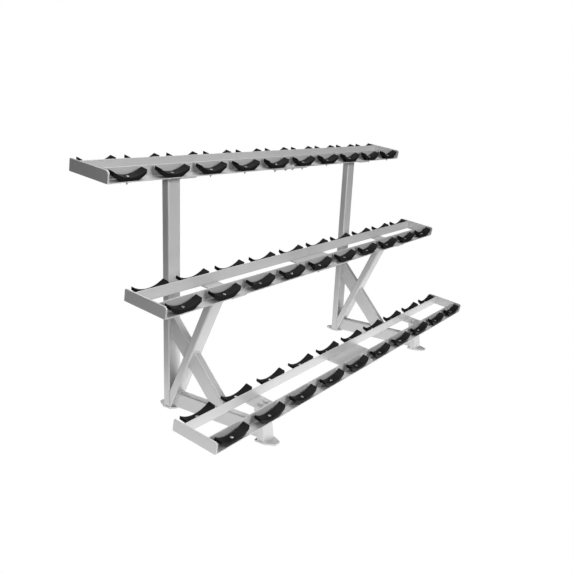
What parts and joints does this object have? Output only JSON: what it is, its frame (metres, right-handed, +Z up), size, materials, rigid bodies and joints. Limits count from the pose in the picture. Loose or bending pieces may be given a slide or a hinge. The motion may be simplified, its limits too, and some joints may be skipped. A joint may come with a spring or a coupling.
{
  "type": "dumbbell rack",
  "caption": "Tiered dumbbell rack: sloping angle-rail trays with rows of moulded saddles, bolted onto welded tube side frames that stand on foot plates with anchor holes.",
  "frame": {"origin": "on the floor, under the middle of the rack's box", "axes": "+Z up, +X along the trays towards the right-hand end, the front faces -Y"},
  "size_m": [2.44, 0.7526, 1.1575],
  "materials": {
    "silver_paint": "satin silver-grey powder coat",
    "saddle_plastic": "smooth matte black moulding",
    "zinc_plated_steel": "bright zinc plate"
  },
  "bodies": {
    "root": {"bottom_end_plate_left": "silver_paint", "bottom_end_plate_right": "silver_paint", "bottom_frame_plate_left": "silver_paint", "bottom_frame_plate_right": "silver_paint", "bottom_front_rail_left": "silver_paint", "bottom_front_rail_right": "silver_paint", "bottom_front_saddles": "saddle_plastic", "bottom_rear_rail_left": "silver_paint", "bottom_rear_rail_right": "silver_paint", "bottom_rear_saddles": "saddle_plastic", "bottom_splice_plate": "silver_paint", "frame_bolts": "zinc_plated_steel", "left_base_beam": "silver_paint", "left_brace_cap": "silver_paint", "left_front_foot": "silver_paint", "left_front_leg": "silver_paint", "left_leg_cap": "silver_paint", "left_lower_falling_brace": "silver_paint", "left_post": "silver_paint", "left_post_cap": "silver_paint", "left_rear_foot": "silver_paint", "left_rising_brace": "silver_paint", "left_upper_falling_brace": "silver_paint", "middle_end_plate_left": "silver_paint", "middle_end_plate_right": "silver_paint", "middle_frame_plate_left": "silver_paint", "middle_frame_plate_right": "silver_paint", "middle_front_rail_left": "silver_paint", "middle_front_rail_right": "silver_paint", "middle_front_saddles": "saddle_plastic", "middle_rear_rail_left": "silver_paint", "middle_rear_rail_right": "silver_paint", "middle_rear_saddles": "saddle_plastic", "middle_splice_plate": "silver_paint", "right_base_beam": "silver_paint", "right_brace_cap": "silver_paint", "right_front_foot": "silver_paint", "right_front_leg": "silver_paint", "right_leg_cap": "silver_paint", "right_lower_falling_brace": "silver_paint", "right_post": "silver_paint", "right_post_cap": "silver_paint", "right_rear_foot": "silver_paint", "right_rising_brace": "silver_paint", "right_upper_falling_brace": "silver_paint", "saddle_nuts": "zinc_plated_steel", "saddle_screws": "zinc_plated_steel", "splice_bolts": "zinc_plated_steel", "splice_nuts": "zinc_plated_steel", "top_end_plate_left": "silver_paint", "top_end_plate_right": "silver_paint", "top_frame_plate_left": "silver_paint", "top_frame_plate_right": "silver_paint", "top_front_rail_left": "silver_paint", "top_front_rail_right": "silver_paint", "top_front_saddles": "saddle_plastic", "top_rear_rail_left": "silver_paint", "top_rear_rail_right": "silver_paint", "top_rear_saddles": "saddle_plastic", "top_splice_plate": "silver_paint"}
  },
  "joints": []
}
